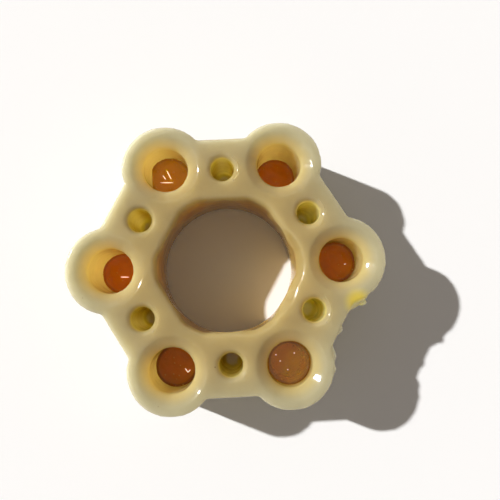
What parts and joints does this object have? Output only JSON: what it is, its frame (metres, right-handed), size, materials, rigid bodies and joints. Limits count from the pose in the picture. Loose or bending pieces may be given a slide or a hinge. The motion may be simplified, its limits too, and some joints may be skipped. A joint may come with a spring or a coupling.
{
  "type": "supercharger coupler isolator",
  "caption": "Soft cast coupling ring with round lobes on a hexagonal body, a pin bore with an amber plug in each lobe, small flex holes between them and a wide centre opening.",
  "frame": {"origin": "centre of the underside, on the ring's axis", "axes": "+Z along the ring's axis, out of the face that the picture shows; +X towards the right lobe"},
  "size_m": [0.0604, 0.0544, 0.0176],
  "materials": {
    "cast_cream": "smooth, glossy, translucent cast urethane",
    "amber_plug": "glossy, clear amber resin"
  },
  "bodies": {
    "root": {"isolator_body": "cast_cream", "plug_right": "amber_plug", "plug_rear_right": "amber_plug", "plug_rear_left": "amber_plug", "plug_left": "amber_plug", "plug_front_left": "amber_plug", "plug_front_right": "amber_plug"}
  },
  "joints": []
}
